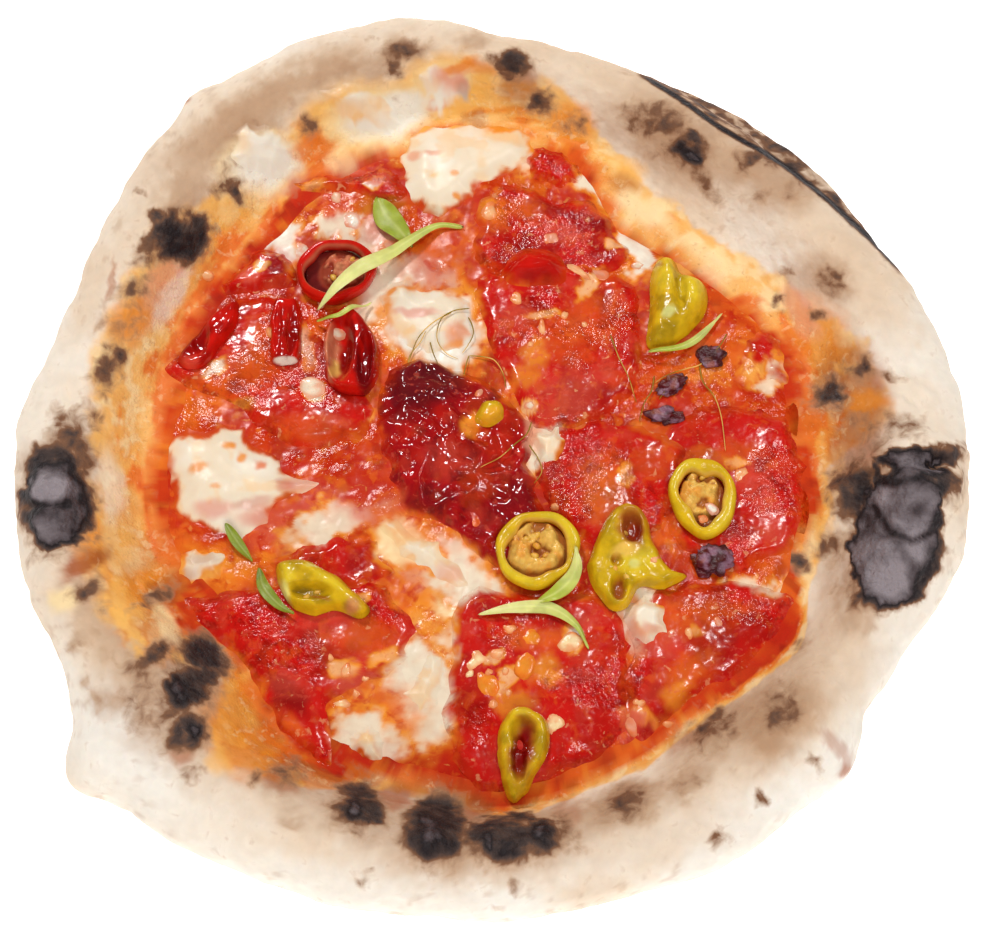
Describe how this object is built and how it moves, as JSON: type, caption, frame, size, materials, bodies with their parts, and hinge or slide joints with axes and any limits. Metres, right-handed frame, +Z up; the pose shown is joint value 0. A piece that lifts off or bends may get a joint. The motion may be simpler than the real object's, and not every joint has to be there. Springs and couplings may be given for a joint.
{
  "type": "diavola pizza",
  "caption": "Whole hand-stretched diavola pizza with a puffed, charred rim, tomato sauce, melted mozzarella, spicy salami, red and pickled chili and a few sprouts.",
  "frame": {"origin": "centre of the flat underside", "axes": "+Z up out of the toppings, +X to the viewer's right, +Y away from the viewer"},
  "size_m": [0.3002, 0.3054, 0.0267],
  "materials": {
    "baked_dough": "floury matte crust, charred in spots",
    "tomato_sauce": "wet, oily",
    "mozzarella": "satin, melted",
    "roasted_cheese": "satin, oily",
    "salami": "oily",
    "dark_salami": "oily, crumpled",
    "red_chili": "glossy skin",
    "pickled_chili": "wet",
    "roasted_scrap": "charred edges",
    "sprout": "fresh leaf"
  },
  "bodies": {
    "root": {"crust": "baked_dough", "sauce": "tomato_sauce", "cheese_back": "mozzarella", "cheese_back_left": "mozzarella", "cheese_back_rim": "mozzarella", "cheese_roasted_back": "roasted_cheese", "cheese_middle": "mozzarella", "cheese_left": "mozzarella", "cheese_diagonal": "mozzarella", "cheese_low": "mozzarella", "cheese_low_left": "mozzarella", "cheese_bubble": "roasted_cheese", "cheese_right": "mozzarella", "cheese_crumb": "mozzarella", "salami_back": "salami", "salami_strip": "salami", "salami_chunk": "salami", "salami_left": "salami", "salami_top": "salami", "salami_middle": "salami", "salami_right": "salami", "salami_centre_right": "salami", "salami_low_middle": "salami", "salami_low_right": "salami", "salami_low_left": "salami", "salami_centre": "dark_salami", "salami_flap": "salami", "salami_fold": "salami", "salami_corner": "salami", "chili_green_ear": "pickled_chili", "chili_green_drop": "pickled_chili", "chili_green_half": "pickled_chili", "chili_green_chunk": "pickled_chili", "chili_green_seed": "pickled_chili", "chili_green_ring_low": "pickled_chili", "chili_green_ring_right": "pickled_chili", "chili_red_half": "red_chili", "chili_red_quarter": "red_chili", "chili_red_hoop": "red_chili", "chili_red_ring": "red_chili", "scrap_dark_low": "roasted_scrap", "scrap_dark_middle": "roasted_scrap", "scrap_dark_inner": "roasted_scrap", "scrap_dark_right": "roasted_scrap", "leaf_long": "sprout", "leaf_long_stalk": "sprout", "leaf_back": "sprout", "leaf_low_upright": "sprout", "leaf_low_across": "sprout", "leaf_left": "sprout", "leaf_left_low": "sprout", "leaf_right": "sprout"}
  },
  "joints": []
}
